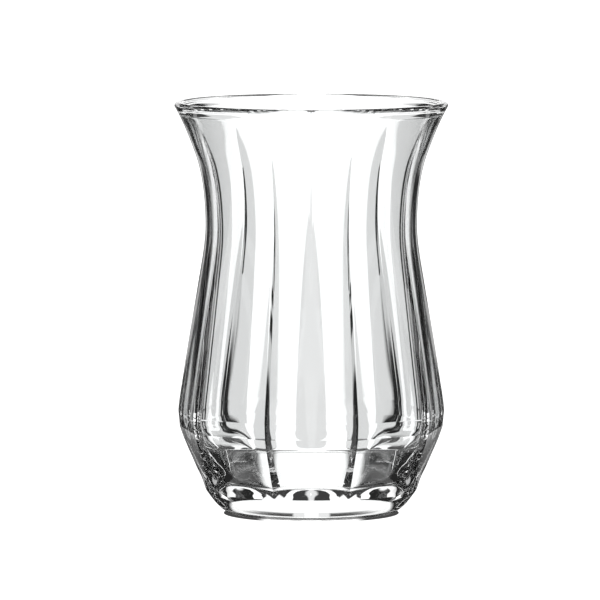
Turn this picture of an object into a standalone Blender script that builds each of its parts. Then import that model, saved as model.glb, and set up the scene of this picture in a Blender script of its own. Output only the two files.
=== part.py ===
"""Turkish tea glass: one clear solid with nine upright facets, a slim waist and a thick foot.

The origin is the centre of the underside, +Z is up, and a facet faces -Y.
"""

import math
from typing import Callable, NamedTuple

import bmesh
import bpy
import numpy as np

MM = 0.001


class Knot(NamedTuple):
    """A point of an upright curve: its height, its value there and the value's rise per height."""

    height: float
    value: float
    slope: float


# Facets: the depth at a height is 0 for a round section and 1 for a straight-sided one
FACETS = 9
FACET_COLUMNS = 5
FACET_FADE_IN = Knot(84.0 * MM, 0.0, 0.0)
FACET_START = Knot(76.0 * MM, 0.26, -0.0150 / MM)
FACET_FULL = Knot(21.0 * MM, 1.0, -0.0120 / MM)
FACET_FOOT = Knot(9.0 * MM, 0.85, 0.05 / MM)
FACET_FADE_OUT = Knot(5.0 * MM, 0.0, 0.20 / MM)

# Outer outline over the ridges, from the rim down to the heel
RIM = Knot(88.3 * MM, 29.60 * MM, 0.60)
FLARE = Knot(85.1 * MM, 27.93 * MM, 0.48)
NECK = Knot(78.0 * MM, 25.34 * MM, 0.325)
WAIST = Knot(63.0 * MM, 23.30 * MM, 0.01)
FLANK_TOP = Knot(50.2 * MM, 24.83 * MM, -0.163)
FLANK_FOOT = Knot(29.3 * MM, 28.31 * MM, -0.155)
BELLY = Knot(21.8 * MM, 29.37 * MM, -0.065)
BELLY_EDGE = Knot(18.4 * MM, 29.05 * MM, 0.303)
CONE = Knot(10.0 * MM, 25.58 * MM, 0.43)
HEEL = Knot(3.0 * MM, 21.35 * MM, 0.78)

# Foot ring and the shallow round recess inside it
FOOT_RADIUS = 16.8 * MM
RECESS_RADIUS = 12.6 * MM
RECESS_TOP_RADIUS = 12.0 * MM
RECESS_HEIGHT = 0.5 * MM
RECESS_CORNER = 0.3 * MM
FOOT_EDGE = 0.2 * MM

# Wall
RIM_WALL = 1.86 * MM
NECK_WALL = 1.4 * MM
NECK_HEIGHT = 84.5 * MM
WAIST_WALL = 1.5 * MM
BELLY_WALL = 2.6 * MM
INNER_FOLLOW = 0.6
INNER_CREASE = 0.3

# Bottom of the inside: a knee at the belly, a side along the cone, a tight corner and a flat floor
WELL_TOP = 21.8 * MM
WELL_KNEE = 1.7 * MM
WELL_FOOT = 7.6 * MM
WELL_RADIUS = 21.4 * MM
WELL_CORNER = 1.6 * MM
WELL_DISH = 0.3 * MM
WELL_ROUND_RADIUS = 8.0 * MM

# Mesh steps
NECK_RINGS = 12
SHOULDER_RINGS = 6
FLANK_RINGS = 5
BELLY_RINGS = 4
CONE_RINGS = 12
HEEL_RINGS = 7
LIP_RINGS = 5
CORNER_RINGS = 5
FLOOR_RINGS = 5
SHARP_ANGLE = math.radians(14)

HALF_FACET = math.pi / FACETS
FACET_SAG = 1.0 - math.cos(HALF_FACET)


def hermite(start: Knot, end: Knot, height: float) -> float:
    """Value at a height on the cubic through two knots."""
    span = end.height - start.height
    t = (height - start.height) / span
    return (
        (2 * t**3 - 3 * t**2 + 1) * start.value
        + (t**3 - 2 * t**2 + t) * span * start.slope
        + (3 * t**2 - 2 * t**3) * end.value
        + (t**3 - t**2) * span * end.slope
    )


def bezier(start: tuple, bend: tuple, end: tuple, t: float) -> tuple:
    """Point at t on the quadratic curve that leaves start and reaches end along their lines to bend."""
    return tuple((1 - t) ** 2 * a + 2 * t * (1 - t) * b + t * t * c for a, b, c in zip(start, bend, end))


OUTLINE = (RIM, FLARE, NECK, WAIST, FLANK_TOP, FLANK_FOOT, BELLY, BELLY_EDGE, CONE, HEEL)
FACET_GROWTH = (FACET_FADE_IN, FACET_START, FACET_FULL, FACET_FOOT, FACET_FADE_OUT)


def ridge_radius(height: float) -> float:
    """Radius of the outside at a ridge, above the heel."""
    for upper, lower in zip(OUTLINE, OUTLINE[1:]):
        if height >= lower.height:
            return hermite(upper, lower, height)
    return HEEL.value


def facet_depth(height: float) -> float:
    """How far the section has turned from a circle (0) into a straight-sided polygon (1)."""
    if height >= FACET_FADE_IN.height or height <= FACET_FADE_OUT.height:
        return 0.0
    for upper, lower in zip(FACET_GROWTH, FACET_GROWTH[1:]):
        if height >= lower.height:
            return min(1.0, hermite(upper, lower, height))
    return 0.0


def wall(height: float) -> float:
    """Level thickness of the wall."""
    heights = (BELLY.height, WAIST.height, NECK_HEIGHT, RIM.height)
    walls = (BELLY_WALL, WAIST_WALL, NECK_WALL, RIM_WALL)
    return float(np.interp(height, heights, walls))


def column_angles() -> np.ndarray:
    """Angles of the mesh columns round the axis, the first on a ridge."""
    steps = np.arange(FACETS * FACET_COLUMNS) / FACET_COLUMNS
    return (2.0 * steps + 1.0) * HALF_FACET


def facet_offsets() -> np.ndarray:
    """Each column's angle from the middle of its facet."""
    inside = np.arange(FACETS * FACET_COLUMNS) % FACET_COLUMNS
    return (2.0 * inside / FACET_COLUMNS - 1.0) * HALF_FACET


def flat_sag() -> np.ndarray:
    """How far a straight side lies inside the circle through the ridges, per unit radius."""
    return 1.0 - math.cos(HALF_FACET) / np.cos(facet_offsets())


def soft_sag() -> np.ndarray:
    """A sag as deep as the straight side's, in a smooth wave without an edge at the ridges."""
    return FACET_SAG * 0.5 * (1.0 + np.cos(math.pi * facet_offsets() / HALF_FACET))


def outer_section(height: float, radius: float) -> np.ndarray:
    """Radii of the outside round one section."""
    return radius * (1.0 - facet_depth(height) * flat_sag())


def inner_section(height: float) -> np.ndarray:
    """Radii of the inside round one section, which follows the facets softly."""
    radius = ridge_radius(height)
    sag = INNER_CREASE * flat_sag() + (1.0 - INNER_CREASE) * soft_sag()
    return radius - wall(height) - radius * facet_depth(height) * INNER_FOLLOW * sag


def steps_between(start: float, end: float, count: int) -> list:
    """Even steps from start towards end, without the end."""
    return list(np.linspace(start, end, count, endpoint=False))


def wall_heights(bottom: float) -> list:
    """Heights of the sections that outside and inside share, from the rim to a bottom height."""
    heights = steps_between(RIM.height, WAIST.height, NECK_RINGS)
    heights += steps_between(WAIST.height, FLANK_TOP.height, SHOULDER_RINGS)
    heights += steps_between(FLANK_TOP.height, FLANK_FOOT.height, FLANK_RINGS)
    heights += steps_between(FLANK_FOOT.height, bottom, BELLY_RINGS)
    return heights + [bottom]


def outside_rings() -> list:
    """Sections of the outside from the rim to the heel."""
    heights = wall_heights(BELLY.height)[:-1]
    heights += steps_between(BELLY.height, BELLY_EDGE.height, CORNER_RINGS)
    heights += steps_between(BELLY_EDGE.height, HEEL.height, CONE_RINGS)
    return [(z, outer_section(z, ridge_radius(z))) for z in heights]


def heel_rings() -> list:
    """Sections of the round heel, from the cone to the flat underside."""
    bend = (HEEL.height, HEEL.value)
    corner = (0.0, HEEL.value - HEEL.height * HEEL.slope)
    foot = (0.0, FOOT_RADIUS)
    points = [bezier(bend, corner, foot, t) for t in np.linspace(0.0, 1.0, HEEL_RINGS)]
    return [(z, outer_section(z, r)) for z, r in points]


def lip_rings() -> list:
    """Sections over the half-round lip, from the inside to the outside."""
    outer = outer_section(RIM.height, RIM.value)
    inner = inner_section(RIM.height)
    middle, half = (outer + inner) / 2, (outer - inner) / 2
    turns = np.linspace(math.pi, 0.0, LIP_RINGS + 2)[1:-1]
    return [(RIM.height + float(half.mean()) * math.sin(a), middle + half * math.cos(a)) for a in turns]


def rounded_corner(before: tuple, corner: tuple, after: tuple, reach: float, count: int) -> list:
    """Points of a curve that replaces a corner, from reach before it to reach after it."""
    start = move_towards(corner, before, reach)
    end = move_towards(corner, after, reach)
    return [bezier(start, corner, end, t) for t in np.linspace(0.0, 1.0, count)]


def move_towards(start: tuple, goal: tuple, reach: float) -> tuple:
    """The point at a distance from start on the way to goal."""
    share = reach / math.dist(start, goal)
    return tuple(a + (b - a) * share for a, b in zip(start, goal))


def well_outline(side: tuple) -> list:
    """Heights and radii from the wall of the belly down to the floor, towards the axis."""
    slope = (ridge_radius(WELL_TOP + MM) - ridge_radius(WELL_TOP)) / MM
    knee = (WELL_TOP - WELL_KNEE, side[1] - slope * WELL_KNEE)
    corner = (WELL_FOOT, WELL_RADIUS)
    floor = (WELL_FOOT, 0.0)
    points = rounded_corner(side, knee, corner, WELL_KNEE, CORNER_RINGS)[1:]
    points += rounded_corner(knee, corner, floor, WELL_CORNER, CORNER_RINGS)
    flat = WELL_RADIUS - WELL_CORNER
    shares = np.linspace(1.0, 0.0, FLOOR_RINGS, endpoint=False)[1:]
    return points + [(WELL_FOOT - WELL_DISH * (1.0 - q * q), flat * q) for q in shares]


def well_rings() -> list:
    """Sections of the bottom of the inside, whose facets fade out over the floor."""
    top = inner_section(WELL_TOP)
    side = (WELL_TOP, float(top.mean()))
    wave = top - side[1]
    rings = []
    for height, radius in well_outline(side):
        share = (radius - WELL_ROUND_RADIUS) / (side[1] - WELL_ROUND_RADIUS)
        rings.append((height, radius + wave * min(1.0, max(0.0, share))))
    return rings


def recess_rings() -> list:
    """Round sections of the underside, from the recess out over the inner edge of the foot ring."""
    ceiling = (RECESS_HEIGHT, 0.0)
    top = (RECESS_HEIGHT, RECESS_TOP_RADIUS)
    edge = (0.0, RECESS_RADIUS)
    rim = (0.0, FOOT_RADIUS)
    points = rounded_corner(ceiling, top, edge, RECESS_CORNER, CORNER_RINGS)
    points += rounded_corner(top, edge, rim, FOOT_EDGE, CORNER_RINGS)
    return [(z, np.full(FACETS * FACET_COLUMNS, r)) for z, r in points]


def add_ring(mesh: bmesh.types.BMesh, height: float, radii: np.ndarray) -> list:
    """One closed row of vertices."""
    spread = np.broadcast_to(radii, column_angles().shape)
    return [
        mesh.verts.new((r * math.sin(a), -r * math.cos(a), height))
        for a, r in zip(column_angles(), spread)
    ]


def join_rings(mesh: bmesh.types.BMesh, first: list, second: list) -> None:
    """A band of four-sided faces between two rows."""
    for i, vertex in enumerate(first):
        after = (i + 1) % len(first)
        mesh.faces.new((vertex, first[after], second[after], second[i]))


def close_ring(mesh: bmesh.types.BMesh, ring: list) -> None:
    """A flat fan of triangles that closes a row."""
    middle = mesh.verts.new((0.0, 0.0, ring[0].co.z))
    for i, vertex in enumerate(ring):
        mesh.faces.new((middle, vertex, ring[(i + 1) % len(ring)]))


def glass_sections() -> list:
    """All sections in order: underside, outside upwards, lip, inside downwards."""
    underside = recess_rings() + heel_rings()[::-1]
    outside = outside_rings()[::-1]
    inside = [(z, inner_section(z)) for z in wall_heights(WELL_TOP)]
    return underside + outside + lip_rings()[::-1] + inside + well_rings()


def glass_material() -> bpy.types.Material:
    """Clear colourless glass."""
    material = bpy.data.materials.new("clear_glass")
    material.use_nodes = True
    shader = material.node_tree.nodes["Principled BSDF"]
    shader.inputs["Base Color"].default_value = (0.97, 0.98, 0.98, 1.0)
    shader.inputs["Metallic"].default_value = 0.0
    shader.inputs["Roughness"].default_value = 0.02
    shader.inputs["IOR"].default_value = 1.5
    shader.inputs["Transmission Weight"].default_value = 1.0
    return material


def add_object(name: str, fill: Callable, material: bpy.types.Material) -> bpy.types.Object:
    """A named object whose mesh is made by a function."""
    shape = bmesh.new()
    fill(shape)
    bmesh.ops.recalc_face_normals(shape, faces=shape.faces)
    mesh = bpy.data.meshes.new(name)
    shape.to_mesh(mesh)
    shape.free()
    mesh.materials.append(material)
    mesh.shade_smooth()
    mesh.set_sharp_from_angle(angle=SHARP_ANGLE)
    made = bpy.data.objects.new(name, mesh)
    bpy.context.collection.objects.link(made)
    return made


def fill_glass(shape: bmesh.types.BMesh) -> None:
    """The whole glass: one closed skin of rows, from the underside over the lip to the floor."""
    rings = [add_ring(shape, height, radii) for height, radii in glass_sections()]
    for lower, upper in zip(rings, rings[1:]):
        join_rings(shape, lower, upper)
    close_ring(shape, rings[0])
    close_ring(shape, rings[-1])


def clear_scene() -> None:
    """Remove the objects that a new file starts with."""
    for item in list(bpy.data.objects):
        bpy.data.objects.remove(item, do_unlink=True)


def main() -> None:
    """Model the glass."""
    clear_scene()
    add_object("tea_glass", fill_glass, glass_material())


main()
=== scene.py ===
import sys
import logging
import math
from dataclasses import dataclass, field
from enum import Enum
from typing import Any

import bmesh
import bpy
import numpy as np
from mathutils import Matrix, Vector


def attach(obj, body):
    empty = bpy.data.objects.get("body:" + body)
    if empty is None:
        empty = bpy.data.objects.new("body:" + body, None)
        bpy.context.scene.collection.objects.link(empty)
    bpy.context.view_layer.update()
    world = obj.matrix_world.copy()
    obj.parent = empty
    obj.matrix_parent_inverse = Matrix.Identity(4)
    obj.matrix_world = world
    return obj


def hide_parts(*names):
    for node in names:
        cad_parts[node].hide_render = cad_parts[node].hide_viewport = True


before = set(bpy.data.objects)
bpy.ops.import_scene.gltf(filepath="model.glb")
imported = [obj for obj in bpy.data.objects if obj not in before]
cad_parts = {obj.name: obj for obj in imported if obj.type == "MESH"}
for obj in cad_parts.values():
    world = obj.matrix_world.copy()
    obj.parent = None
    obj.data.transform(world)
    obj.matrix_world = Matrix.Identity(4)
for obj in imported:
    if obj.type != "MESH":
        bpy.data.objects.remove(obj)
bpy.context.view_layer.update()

LOG = logging.getLogger("tea_glass")
MM = 0.001
CM3 = 1e-6
NODE = "tea_glass"
BODY = "root"

Point = tuple[float, float]
Span = tuple[float, float]
Section = tuple[float, np.ndarray]


class Operation(Enum):
    """What a Math node does with its inputs."""

    MULTIPLY = "MULTIPLY"
    DIVIDE = "DIVIDE"
    SIZE = "ABSOLUTE"
    LARGER = "MAXIMUM"
    REPEAT = "WRAP"
    BEARING = "ARCTAN2"
    RISE = "ARCSINE"


class NodeTree:
    """A node tree with one method for every kind of node."""

    def __init__(self, tree: bpy.types.NodeTree) -> None:
        """Take an empty tree.

        Args:
            tree: The tree that the nodes go into.
        """
        self.tree = tree

    def node(
        self,
        kind: str,
        settings: dict[str, Any] | None = None,
        inputs: dict[int | str, Any] | None = None,
    ) -> bpy.types.Node:
        """Add a node, set what it does, then fill its sockets.

        Args:
            kind: Blender's name for the type of node.
            settings: Properties of the node, set before the sockets.
            inputs: Values, sockets or wrapped sockets, by socket number or name.

        Returns:
            The new node.
        """
        made = self.tree.nodes.new(kind)
        for name, setting in (settings or {}).items():
            setattr(made, name, setting)
        for key, value in (inputs or {}).items():
            self.feed(made.inputs[key], value)
        return made

    def feed(self, socket: bpy.types.NodeSocket, value: Any) -> None:
        """Link or set one input.

        Args:
            socket: The input.
            value: A wrapped socket, a bare socket, or a constant.
        """
        if isinstance(value, Value):
            value = value.socket
        if isinstance(value, bpy.types.NodeSocket):
            self.tree.links.new(value, socket)
        else:
            socket.default_value = value

    def value(self, socket: bpy.types.NodeSocket) -> "Value":
        """Wrap an output for use in sums."""
        return Value(self, socket)


class Value:
    """A number that a node puts out, which * and abs() work on."""

    def __init__(self, tree: NodeTree, socket: bpy.types.NodeSocket) -> None:
        """Wrap an output.

        Args:
            tree: The tree that the output is in.
            socket: The output.
        """
        self.tree = tree
        self.socket = socket

    def math(self, operation: Operation, *others: Any) -> "Value":
        """Add a Math node.

        Args:
            operation: What the node does.
            others: What follows this number in the operation.

        Returns:
            The result.
        """
        inputs = dict(enumerate((self, *others)))
        node = self.tree.node("ShaderNodeMath", {"operation": operation.value}, inputs)
        return Value(self.tree, node.outputs[0])

    def __mul__(self, other: Any) -> "Value":
        """self * other."""
        return self.math(Operation.MULTIPLY, other)

    __rmul__ = __mul__

    def __abs__(self) -> "Value":
        """abs(self)."""
        return self.math(Operation.SIZE)

    def or_more(self, other: Any) -> "Value":
        """The larger of two numbers."""
        return self.math(Operation.LARGER, other)

    def ramp(self, marks: Span, levels: Span) -> "Value":
        """Pass softly from one level to another as this number passes from one mark to another.

        Args:
            marks: The first mark and the second.
            levels: The level up to the first mark, and the level from the second on.

        Returns:
            The level.
        """
        inputs = {0: self, 1: marks[0], 2: marks[1], 3: levels[0], 4: levels[1]}
        node = self.tree.node("ShaderNodeMapRange", {"interpolation_type": "SMOOTHSTEP"}, inputs)
        return Value(self.tree, node.outputs[0])

    def rise(self, marks: Span, level: float = 1.0) -> "Value":
        """Nothing up to the first mark, and a level from the second on."""
        return self.ramp(marks, (0.0, level))

    def fall(self, marks: Span, level: float = 1.0) -> "Value":
        """A level up to the first mark, and nothing from the second on."""
        return self.ramp(marks, (level, 0.0))


@dataclass(frozen=True)
class Knot:
    """A point of an upright curve."""

    height: float
    value: float
    slope: float


@dataclass(frozen=True)
class UprightCurve:
    """A smooth curve over height through knots that run from the top down."""

    knots: tuple[Knot, ...]

    def at(self, height: float) -> float:
        """Read the curve.

        Args:
            height: Where, in metres above the foot.

        Returns:
            The value there, which stays the same beyond the first and the last knot.
        """
        if height >= self.knots[0].height:
            return self.knots[0].value
        for upper, lower in zip(self.knots, self.knots[1:]):
            if height >= lower.height:
                return self.between(upper, lower, height)
        return self.knots[-1].value

    @staticmethod
    def between(start: Knot, end: Knot, height: float) -> float:
        """Value on the cubic through two knots.

        Args:
            start: The first knot.
            end: The second knot.
            height: A height between the two.

        Returns:
            The value at that height.
        """
        span = end.height - start.height
        t = (height - start.height) / span
        return (
            (2 * t**3 - 3 * t**2 + 1) * start.value
            + (t**3 - 2 * t**2 + t) * span * start.slope
            + (3 * t**2 - 2 * t**3) * end.value
            + (t**3 - t**2) * span * end.slope
        )


def bezier(start: Point, bend: Point, end: Point, t: float) -> Point:
    """Find a point on a quadratic curve.

    Args:
        start: Where the curve begins.
        bend: Where the lines of its two ends meet.
        end: Where the curve ends.
        t: The share of the way.

    Returns:
        The point.
    """
    a, b, c = (1 - t) ** 2, 2 * t * (1 - t), t * t
    return (a * start[0] + b * bend[0] + c * end[0], a * start[1] + b * bend[1] + c * end[1])


def toward(start: Point, goal: Point, reach: float) -> Point:
    """Go a distance from one point to another.

    Args:
        start: The first point.
        goal: The point to go to.
        reach: How far to go.

    Returns:
        The point reached.
    """
    share = reach / math.dist(start, goal)
    return (start[0] + (goal[0] - start[0]) * share, start[1] + (goal[1] - start[1]) * share)


def rounded_corner(before: Point, corner: Point, after: Point, reach: float, count: int) -> list[Point]:
    """Replace a corner by a curve.

    Args:
        before: A point on the line that comes in.
        corner: The corner.
        after: A point on the line that goes out.
        reach: How far from the corner the curve begins and ends.
        count: How many points the curve has.

    Returns:
        The points of the curve, both ends included.
    """
    start, end = toward(corner, before, reach), toward(corner, after, reach)
    return [bezier(start, corner, end, float(t)) for t in np.linspace(0.0, 1.0, count)]


@dataclass(frozen=True)
class Facets:
    """The upright flat sides round the glass."""

    count: int = 9
    columns: int = 36
    crowding: float = 0.55
    ridge_radius: float = 0.3 * MM
    inner_follow: float = 0.75
    inner_crease: float = 0.52
    depth: UprightCurve = UprightCurve(
        (
            Knot(84.0 * MM, 0.0, 0.0),
            Knot(76.0 * MM, 0.26, -0.0150 / MM),
            Knot(21.0 * MM, 1.0, -0.0120 / MM),
            Knot(9.0 * MM, 0.85, 0.05 / MM),
            Knot(5.0 * MM, 0.0, 0.20 / MM),
        )
    )

    @property
    def half(self) -> float:
        """Half of the angle that a facet takes round the axis."""
        return math.pi / self.count

    def angles(self) -> np.ndarray:
        """Angles across one facet from its middle, closer together near the ridges."""
        even = np.linspace(-1.0, 1.0, self.columns + 1)
        return self.half * ((1.0 - self.crowding) * even + self.crowding * np.sin(even * math.pi / 2))

    def flat_sag(self, radius: float) -> np.ndarray:
        """How far a straight side with rounded ridges lies inside the circle through sharp ridges.

        Args:
            radius: The circle's radius.

        Returns:
            The depth at each angle, as a share of the radius.
        """
        angles = np.abs(self.angles())
        middle = math.cos(self.half)
        sharp = middle / np.cos(angles)
        rounding = self.ridge_radius / radius
        centre = (middle - rounding) / middle
        touch = math.atan(centre * math.sin(self.half) / middle)
        off = self.half - angles
        arc = centre * np.cos(off) + np.sqrt(np.maximum(rounding**2 - (centre * np.sin(off)) ** 2, 0.0))
        return 1.0 - np.where(angles > touch, arc, sharp)

    def soft_sag(self) -> np.ndarray:
        """A wave as deep as the straight side, with no edge at the ridges."""
        depth = 1.0 - math.cos(self.half)
        return depth * 0.5 * (1.0 + np.cos(math.pi * self.angles() / self.half))


@dataclass(frozen=True)
class Bowl:
    """The wall of the glass, from the lip down to the heel."""

    flank: tuple[Knot, ...] = (
        Knot(88.3 * MM, 29.60 * MM, 0.60),
        Knot(85.1 * MM, 27.93 * MM, 0.48),
        Knot(78.0 * MM, 25.34 * MM, 0.325),
        Knot(63.0 * MM, 23.30 * MM, 0.01),
        Knot(50.2 * MM, 24.83 * MM, -0.163),
        Knot(29.3 * MM, 28.31 * MM, -0.155),
        Knot(21.8 * MM, 29.37 * MM, -0.065),
    )
    cone: tuple[Knot, ...] = (
        Knot(18.4 * MM, 29.05 * MM, 0.303),
        Knot(10.0 * MM, 25.58 * MM, 0.43),
        Knot(3.0 * MM, 21.35 * MM, 0.78),
    )
    thickness: UprightCurve = UprightCurve(
        (
            Knot(88.3 * MM, 1.86 * MM, 0.10),
            Knot(86.7 * MM, 1.12 * MM, 0.0),
            Knot(63.0 * MM, 1.18 * MM, -0.012),
            Knot(21.8 * MM, 2.60 * MM, -0.01),
        )
    )
    ring_step: float = 0.9 * MM
    least_rings: int = 6
    cone_rings: int = 24
    lip_rings: int = 14

    @property
    def outline(self) -> UprightCurve:
        """Radius over the ridges, from the rim to the heel."""
        return UprightCurve(self.flank + self.cone)

    def wall(self, height: float) -> float:
        """Level thickness of the wall at a height."""
        return self.thickness.at(height)

    def heights(self, bottom: float) -> list[float]:
        """Heights of the rings that outside and inside share.

        Args:
            bottom: The lowest of them.

        Returns:
            The heights from the rim down.
        """
        knots = self.flank + self.thickness.knots
        marks = sorted({knot.height for knot in knots if knot.height > bottom}, reverse=True) + [bottom]
        steps: list[float] = []
        for upper, lower in zip(marks, marks[1:]):
            count = max(self.least_rings, round((upper - lower) / self.ring_step))
            steps += [float(h) for h in np.linspace(upper, lower, count, endpoint=False)]
        return steps + [bottom]


@dataclass(frozen=True)
class Foot:
    """The solid bottom: the well above it, the heel and the recess below."""

    radius: float = 16.8 * MM
    recess_radius: float = 12.6 * MM
    recess_top_radius: float = 12.0 * MM
    recess_height: float = 0.5 * MM
    recess_corner: float = 0.3 * MM
    edge: float = 0.2 * MM
    well_top: float = 18.0 * MM
    well_knee: float = 1.4 * MM
    well_foot: float = 7.6 * MM
    well_radius: float = 18.2 * MM
    well_corner: float = 1.2 * MM
    well_dish: float = 0.3 * MM
    well_round_radius: float = 8.0 * MM
    heel_rings: int = 26
    corner_rings: int = 10
    floor_rings: int = 12

    def heel(self, top: Knot) -> list[Point]:
        """Curve of the heel.

        Args:
            top: Where the heel leaves the cone.

        Returns:
            Heights and radii from there down to the flat of the foot.
        """
        corner = (0.0, top.value - top.height * top.slope)
        shares = np.linspace(0.0, 1.0, self.heel_rings)
        return [bezier((top.height, top.value), corner, (0.0, self.radius), float(t)) for t in shares]

    def recess(self) -> list[Point]:
        """Heights and radii of the recess, from the axis out to the flat of the foot."""
        ceiling = (self.recess_height, 0.0)
        top = (self.recess_height, self.recess_top_radius)
        edge = (0.0, self.recess_radius)
        inner = self.recess_top_radius - self.recess_corner
        shares = np.linspace(0.0, 1.0, self.floor_rings, endpoint=False)[1:]
        points = [(self.recess_height, inner * float(q)) for q in shares]
        points += rounded_corner(ceiling, top, edge, self.recess_corner, self.corner_rings)
        return points + rounded_corner(top, edge, (0.0, self.radius), self.edge, self.corner_rings)

    def well(self, side: Point, slope: float) -> list[Point]:
        """Curve of the bottom of the inside.

        Args:
            side: Height and radius where the wall ends.
            slope: The wall's lean there.

        Returns:
            Heights and radii from the wall to the middle of the floor.
        """
        knee = (self.well_top - self.well_knee, side[1] - slope * self.well_knee)
        corner = (self.well_foot, self.well_radius)
        points = rounded_corner(side, knee, corner, self.well_knee, self.corner_rings)[1:]
        points += rounded_corner(knee, corner, (self.well_foot, 0.0), self.well_corner, self.corner_rings)
        flat = self.well_radius - self.well_corner
        shares = np.linspace(1.0, 0.0, self.floor_rings, endpoint=False)[1:]
        floor = [(self.well_foot - self.well_dish * (1.0 - float(q) ** 2), flat * float(q)) for q in shares]
        return points + floor


@dataclass(frozen=True)
class GlassFinish:
    """Clear colourless soda-lime glass with the faint unevenness of a pressed piece."""

    tint: tuple[float, float, float] = (0.985, 0.99, 0.99)
    thick_tint: tuple[float, float, float] = (0.97, 0.98, 0.98)
    ior: float = 1.5
    roughness: Span = (0.0, 0.006)
    wave_scale: float = 60.0
    wave_detail: float = 1.0
    wave_height: float = 0.02 * MM
    speck_scale: float = 400.0
    speck_detail: float = 2.0
    speck_marks: Span = (0.35, 0.65)

    def material(self) -> bpy.types.Material:
        """Make the material.

        Returns:
            The finished material.
        """
        made = bpy.data.materials.new("clear_glass")
        made.use_nodes = True
        tree = NodeTree(made.node_tree)
        shader = made.node_tree.nodes["Principled BSDF"]
        place = tree.node("ShaderNodeTexCoord").outputs["Object"]
        wave = self.noise(tree, place, self.wave_scale, self.wave_detail)
        speck = self.noise(tree, place, self.speck_scale, self.speck_detail)
        colours = {6: (*self.thick_tint, 1.0), 7: (*self.tint, 1.0)}
        tint = tree.node("ShaderNodeMix", {"data_type": "RGBA"}, {0: wave, **colours})
        relief = {"Strength": 1.0, "Distance": self.wave_height, "Height": wave}
        bump = tree.node("ShaderNodeBump", {}, relief)
        tree.feed(shader.inputs["Base Color"], tint.outputs[2])
        tree.feed(shader.inputs["Roughness"], speck.ramp(self.speck_marks, self.roughness))
        tree.feed(shader.inputs["Normal"], bump.outputs["Normal"])
        shader.inputs["IOR"].default_value = self.ior
        shader.inputs["Transmission Weight"].default_value = 1.0
        return made

    @staticmethod
    def noise(tree: NodeTree, place: bpy.types.NodeSocket, scale: float, detail: float) -> Value:
        """Add a noise.

        Args:
            tree: The material's tree.
            place: Where on the piece the noise is read.
            scale: How fine it is.
            detail: How many finer layers it has.

        Returns:
            The noise, from 0 to 1.
        """
        inputs = {"Vector": place, "Scale": scale, "Detail": detail}
        return tree.value(tree.node("ShaderNodeTexNoise", {}, inputs).outputs["Fac"])


@dataclass
class FacetRepeat:
    """Geometry nodes that set copies of one facet's slice side by side round the axis."""

    count: int
    seam: float = 0.002 * MM
    sockets: dict[str, str] = field(default_factory=dict)

    def tree(self) -> bpy.types.NodeTree:
        """Build the tree, with the number of facets, the seam and the finish as named inputs.

        Returns:
            The tree.
        """
        made = bpy.data.node_groups.new("facets_round_the_axis", "GeometryNodeTree")
        face = made.interface
        inputs = (
            ("Slice", "NodeSocketGeometry"),
            ("Facets", "NodeSocketInt"),
            ("Seam", "NodeSocketFloat"),
            ("Finish", "NodeSocketMaterial"),
        )
        for name, kind in inputs:
            self.sockets[name] = face.new_socket(name, in_out="INPUT", socket_type=kind).identifier
        face.new_socket("Glass", in_out="OUTPUT", socket_type="NodeSocketGeometry")
        tree = NodeTree(made)
        source = tree.node("NodeGroupInput").outputs
        index = tree.value(tree.node("GeometryNodeInputIndex").outputs[0])
        angle = index.math(Operation.DIVIDE, source["Facets"]) * math.tau
        turned = tree.node("ShaderNodeCombineXYZ", {}, {"Z": angle})
        points = tree.node("GeometryNodePoints", {}, {"Count": source["Facets"]})
        rotation = tree.node("FunctionNodeEulerToRotation", {}, {0: turned.outputs[0]}).outputs[0]
        copies = {"Points": points.outputs[0], "Instance": source["Slice"], "Rotation": rotation}
        placed = tree.node("GeometryNodeInstanceOnPoints", {}, copies)
        real = tree.node("GeometryNodeRealizeInstances", {}, {0: placed.outputs[0]})
        seams = {"Geometry": real.outputs[0], "Distance": source["Seam"]}
        closed = tree.node("GeometryNodeMergeByDistance", {}, seams)
        dress = {"Geometry": closed.outputs[0], "Material": source["Finish"]}
        dressed = tree.node("GeometryNodeSetMaterial", {}, dress)
        tree.node("NodeGroupOutput", {}, {0: dressed.outputs[0]})
        return made

    def apply(self, piece: bpy.types.Object, finish: bpy.types.Material) -> bpy.types.Mesh:
        """Repeat an object's mesh round the axis.

        Args:
            piece: The object that holds one slice.
            finish: The material for the whole.

        Returns:
            The closed mesh of all slices.
        """
        tree = self.tree()
        modifier = piece.modifiers.new("facets", "NODES")
        modifier.node_group = tree
        for name, value in (("Facets", self.count), ("Seam", self.seam), ("Finish", finish)):
            modifier[self.sockets[name]] = value
        graph = bpy.context.evaluated_depsgraph_get()
        mesh = bpy.data.meshes.new_from_object(piece.evaluated_get(graph), depsgraph=graph)
        piece.modifiers.remove(modifier)
        mesh.materials.clear()
        mesh.materials.append(finish)
        mesh.polygons.foreach_set("material_index", [0] * len(mesh.polygons))
        return mesh


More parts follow.
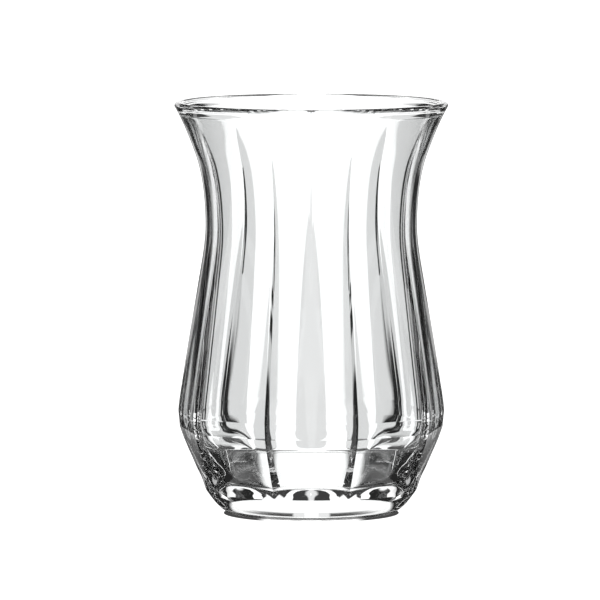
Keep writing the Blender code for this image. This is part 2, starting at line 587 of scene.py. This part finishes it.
@dataclass
class TeaGlass:
    """The whole glass: one closed clear skin."""

    facets: Facets = field(default_factory=Facets)
    bowl: Bowl = field(default_factory=Bowl)
    foot: Foot = field(default_factory=Foot)
    finish: GlassFinish = field(default_factory=GlassFinish)
    crease: float = math.radians(9)

    def outer(self, height: float, radius: float) -> np.ndarray:
        """Radii of the outside across one facet.

        Args:
            height: Height of the section.
            radius: Radius of the circle through the sharp ridges.

        Returns:
            One radius for each angle.
        """
        return radius * (1.0 - self.facets.depth.at(height) * self.facets.flat_sag(radius))

    def inner(self, height: float) -> np.ndarray:
        """Radii of the inside across one facet, which follows the outside softly.

        Args:
            height: Height of the section.

        Returns:
            One radius for each angle.
        """
        radius = self.bowl.outline.at(height)
        share = self.facets.inner_crease
        sag = share * self.facets.flat_sag(radius) + (1.0 - share) * self.facets.soft_sag()
        follow = self.facets.depth.at(height) * self.facets.inner_follow
        return radius - self.bowl.wall(height) - radius * follow * sag

    def outside(self) -> list[Section]:
        """Sections of the outside from the rim to the foot."""
        top, heel = self.bowl.cone[0], self.bowl.cone[-1]
        heights = self.bowl.heights(self.bowl.flank[-1].height)
        heights += [float(h) for h in np.linspace(top.height, heel.height, self.bowl.cone_rings)]
        rings = [(h, self.outer(h, self.bowl.outline.at(h))) for h in heights]
        return rings + [(h, self.outer(h, r)) for h, r in self.foot.heel(heel)[1:]]

    def lip(self) -> list[Section]:
        """Sections over the round lip, from the outside to the inside."""
        height = self.bowl.flank[0].height
        outer, inner = self.outer(height, self.bowl.outline.at(height)), self.inner(height)
        middle, half = (outer + inner) / 2, (outer - inner) / 2
        turns = np.linspace(0.0, math.pi, self.bowl.lip_rings + 2)[1:-1]
        rise = float(half.mean())
        return [(height + rise * math.sin(a), middle + half * math.cos(a)) for a in turns]

    def inside(self) -> list[Section]:
        """Sections of the inside from the rim to the middle of the floor."""
        top = self.foot.well_top
        rings = [(h, self.inner(h)) for h in self.bowl.heights(top)]
        last = rings[-1][1]
        side = (top, float(last.mean()))
        slope = (self.bowl.outline.at(top + MM) - self.bowl.outline.at(top)) / MM
        for height, radius in self.foot.well(side, slope):
            share = (radius - self.foot.well_round_radius) / (side[1] - self.foot.well_round_radius)
            rings.append((height, radius + (last - side[1]) * min(1.0, max(0.0, share))))
        return rings

    def underside(self) -> list[Section]:
        """Sections of the recess from the axis out to the foot."""
        return [(h, np.full(self.facets.columns + 1, r)) for h, r in self.foot.recess()]

    def slice_mesh(self) -> bpy.types.Mesh:
        """Mesh of the slice of glass behind one facet, open where the next slice joins.

        Returns:
            The mesh, with the middle of its facet towards -Y.
        """
        sections = self.underside() + self.outside()[::-1] + self.lip() + self.inside()
        angles = self.facets.angles()
        shape = bmesh.new()
        rows = [
            [shape.verts.new((r * math.sin(a), -r * math.cos(a), h)) for a, r in zip(angles, radii)]
            for h, radii in sections
        ]
        for lower, upper in zip(rows, rows[1:]):
            for i in range(len(angles) - 1):
                shape.faces.new((lower[i], lower[i + 1], upper[i + 1], upper[i]))
        for row, turned in ((rows[0], True), (rows[-1], False)):
            middle = shape.verts.new((0.0, 0.0, row[0].co.z))
            for one, two in zip(row, row[1:]):
                shape.faces.new((middle, two, one) if turned else (middle, one, two))
        mesh = bpy.data.meshes.new("glass_slice")
        shape.to_mesh(mesh)
        shape.free()
        return mesh

    def build(self) -> bpy.types.Object:
        """Make the glass and let it stand for the model's solid.

        Returns:
            The finished piece.
        """
        piece = bpy.data.objects.new("clear_tea_glass", self.slice_mesh())
        bpy.context.scene.collection.objects.link(piece)
        piece.data = FacetRepeat(self.facets.count).apply(piece, self.finish.material())
        self.face_outwards(piece.data)
        piece.data.shade_smooth()
        piece.data.set_sharp_from_angle(angle=self.crease)
        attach(piece, BODY)
        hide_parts(NODE)
        return piece

    @staticmethod
    def face_outwards(mesh: bpy.types.Mesh) -> None:
        """Turn every face of a closed mesh outwards.

        Args:
            mesh: The mesh.
        """
        shape = bmesh.new()
        shape.from_mesh(mesh)
        bmesh.ops.recalc_face_normals(shape, faces=shape.faces)
        open_edges = sum(not edge.is_manifold for edge in shape.edges)
        volume = shape.calc_volume() / CM3
        LOG.info("skin: %d faces, %d open edges, %.1f cm3", len(shape.faces), open_edges, volume)
        shape.to_mesh(mesh)
        shape.free()


@dataclass
class Table:
    """The small white round stand under the foot, with painted light: it glows along its middle from front
    to back and is painted dark at the sides.
    """

    radius: float = 19.0 * MM
    corners: int = 160
    drop: float = 0.1 * MM
    level: float = 1.3
    # Where the painted light along the middle ends, and how dark the painted shade beside it is.
    painted_light_edge: Span = (9.0 * MM, 12.0 * MM)
    painted_shade: float = 0.05
    roughness: float = 0.9

    def build(self) -> bpy.types.Object:
        """Make the stand.

        Returns:
            The stand.
        """
        shape = bmesh.new()
        bmesh.ops.create_circle(shape, cap_ends=True, segments=self.corners, radius=self.radius)
        for vertex in shape.verts:
            vertex.co.z = -self.drop
        mesh = bpy.data.meshes.new("pale_table")
        shape.to_mesh(mesh)
        shape.free()
        mesh.materials.append(self.material())
        made = bpy.data.objects.new("pale_table", mesh)
        bpy.context.scene.collection.objects.link(made)
        return made

    def material(self) -> bpy.types.Material:
        """Make the stand's surface, which glows by itself with painted light: bright along the middle, with
        painted shade at the sides.

        Returns:
            The finished material.
        """
        made = bpy.data.materials.new("painted_glow_white")
        made.use_nodes = True
        tree = NodeTree(made.node_tree)
        place = tree.node("ShaderNodeTexCoord").outputs["Object"]
        aside = abs(tree.value(tree.node("ShaderNodeSeparateXYZ", {}, {0: place}).outputs[0]))
        # Painted light and shade: the glow is full along the middle and falls to painted shade at the
        # sides.
        light = aside.ramp(self.painted_light_edge, (1.0, self.painted_shade))
        colour = tree.node("ShaderNodeCombineXYZ", {}, {0: light, 1: light, 2: light})
        shader = made.node_tree.nodes["Principled BSDF"]
        shader.inputs["Base Color"].default_value = (0.0, 0.0, 0.0, 1.0)
        shader.inputs["Roughness"].default_value = self.roughness
        shader.inputs["Specular IOR Level"].default_value = 0.0
        # Painted glow: the stand gives light by itself though it is no lamp.
        tree.feed(shader.inputs["Emission Color"], colour.outputs[0])
        shader.inputs["Emission Strength"].default_value = self.level
        return made


@dataclass(frozen=True)
class Studio:
    """A dark room with narrow white backdrops, whose light bends through the glass into its streaks.

    Bearings are in degrees to either side of straight behind the glass, and heights in degrees above the
    horizon. Each edge, top or foot gives the two marks between which a light softly ends.
    """

    white: float = 1.3
    dark: float = 0.02
    backdrop_edge: Span = (2.2, 3.2)
    backdrops_every: float = 90.0
    low_backdrops_every: float = 45.0
    low_backdrops_top: Span = (-12.0, -9.0)
    panel: float = 0.85
    panel_edge: Span = (6.1, 7.5)
    panel_foot: Span = (-26.0, -20.0)
    strip: float = 0.7
    strip_start: Span = (10.0, 11.5)
    strip_edge: Span = (15.0, 17.5)
    side: float = 0.6
    side_start: Span = (30.0, 34.0)
    side_edge: Span = (40.0, 48.0)
    side_top: Span = (-2.0, 1.0)
    side_foot: Span = (-12.0, -8.0)
    sky_foot: Span = (1.0, 4.0)
    sky_top: Span = (11.2, 12.4)
    sky_edge: Span = (38.0, 45.0)
    crown: float = 0.04
    crown_edge: Span = (24.0, 34.0)
    ground_top: Span = (-45.0, -32.0)
    ground_edge: Span = (3.4, 5.0)
    floor_top: Span = (-75.0, -65.0)

    def build(self) -> bpy.types.World:
        """Make the world.

        Returns:
            The scene's new world.
        """
        world = bpy.data.worlds.new("studio")
        world.use_nodes = True
        world.node_tree.nodes.clear()
        tree = NodeTree(world.node_tree)
        look = tree.node("ShaderNodeTexCoord").outputs["Generated"]
        east, north, up = (tree.value(s) for s in tree.node("ShaderNodeSeparateXYZ", {}, {0: look}).outputs)
        turn = east.math(Operation.BEARING, north) * math.degrees(1.0)
        height = up.math(Operation.RISE) * math.degrees(1.0)
        light = self.light(turn, height)
        colour = tree.node("ShaderNodeCombineXYZ", {}, {0: light, 1: light, 2: light})
        glow = tree.node("ShaderNodeBackground", {}, {"Color": colour.outputs[0]})
        tree.node("ShaderNodeOutputWorld", {}, {"Surface": glow.outputs[0]})
        bpy.context.scene.world = world
        return world

    def light(self, turn: Value, height: Value) -> Value:
        """Say how bright each direction is: the brightest of all lights that it meets.

        Args:
            turn: Degrees round the axis from straight behind the glass.
            height: Degrees above the horizon.

        Returns:
            The brightness.
        """
        bearing = abs(turn)
        panel = bearing.fall(self.panel_edge, self.panel) * height.rise(self.panel_foot)
        lights = self.backdrops(turn, height).or_more(self.dark).or_more(panel)
        for light in (self.sides, self.sky, self.ground):
            lights = lights.or_more(light(bearing, height))
        return lights

    def backdrops(self, turn: Value, height: Value) -> Value:
        """White backdrops all round, twice as many below the horizon.

        Args:
            turn: Degrees round the axis from straight behind the glass.
            height: Degrees above the horizon.

        Returns:
            The brightness.
        """
        few, many = (
            abs(turn.math(Operation.REPEAT, every / 2, -every / 2)).fall(self.backdrop_edge, self.white)
            for every in (self.backdrops_every, self.low_backdrops_every)
        )
        return few.or_more(many * height.fall(self.low_backdrops_top))

    def sides(self, bearing: Value, height: Value) -> Value:
        """Grey strips beside the panel and further out, just below the horizon.

        Args:
            bearing: Degrees to either side.
            height: Degrees above the horizon.

        Returns:
            The brightness.
        """
        strip = bearing.rise(self.strip_start, self.strip) * bearing.fall(self.strip_edge)
        side = bearing.rise(self.side_start, self.side) * bearing.fall(self.side_edge)
        return side.or_more(strip) * height.fall(self.side_top) * height.rise(self.side_foot)

    def sky(self, bearing: Value, height: Value) -> Value:
        """A low white band behind the glass, and hardly any light over it.

        Args:
            bearing: Degrees to either side.
            height: Degrees above the horizon.

        Returns:
            The brightness.
        """
        band = height.fall(self.sky_top) * bearing.fall(self.sky_edge)
        crown = bearing.fall(self.crown_edge, self.crown)
        return band.or_more(crown) * height.rise(self.sky_foot, self.white)

    def ground(self, bearing: Value, height: Value) -> Value:
        """A white path behind the glass, and a white floor straight below.

        Args:
            bearing: Degrees to either side.
            height: Degrees above the horizon.

        Returns:
            The brightness.
        """
        path = height.fall(self.ground_top, self.white) * bearing.fall(self.ground_edge)
        return path.or_more(height.fall(self.floor_top, self.white))


@dataclass(frozen=True)
class PhotoCamera:
    """The camera, at the photograph's angle and scale."""

    distance: float = 1.8
    elevation: float = math.radians(4.9)
    metres_per_pixel: float = 0.2165 * MM
    frame_pixels: int = 600
    sensor: float = 36.0
    aside: float = -11.3
    base_pixel: float = 512.6
    farthest: float = 100.0

    def build(self) -> bpy.types.Object:
        """Make the camera and use it.

        Returns:
            The camera.
        """
        rise = (self.base_pixel - self.frame_pixels / 2) * self.metres_per_pixel / math.cos(self.elevation)
        target = Vector((self.aside * self.metres_per_pixel, 0.0, rise))
        back = Vector((0.0, -math.cos(self.elevation), math.sin(self.elevation)))
        data = bpy.data.cameras.new("camera")
        data.sensor_width = self.sensor
        data.lens = self.sensor * self.distance / (self.frame_pixels * self.metres_per_pixel)
        data.clip_end = self.farthest
        camera = bpy.data.objects.new("camera", data)
        camera.location = target + back * self.distance
        camera.rotation_euler = (-back).to_track_quat("-Z", "Y").to_euler()
        bpy.context.scene.collection.objects.link(camera)
        bpy.context.scene.camera = camera
        return camera


@dataclass(frozen=True)
class LightPaths:
    """How far light is followed through the glass, and how brightness is shown."""

    bounces: int = 32
    gloss: int = 16

    def apply(self) -> None:
        """Set the scene's light paths and its view."""
        scene = bpy.context.scene
        scene.cycles.max_bounces = self.bounces
        scene.cycles.transmission_bounces = self.bounces
        scene.cycles.glossy_bounces = self.gloss
        scene.cycles.use_denoising = True
        scene.view_settings.view_transform = "Standard"


def main() -> None:
    """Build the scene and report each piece."""
    logging.basicConfig(level=logging.INFO, stream=sys.stdout, format="%(name)s: %(message)s")
    PhotoCamera().build()
    glass = TeaGlass().build()
    LOG.info("%s: %d faces", glass.name, len(glass.data.polygons))
    table = Table().build()
    LOG.info("%s: stage", table.name)
    Studio().build()
    LightPaths().apply()


if __name__ == "__main__":
    main()
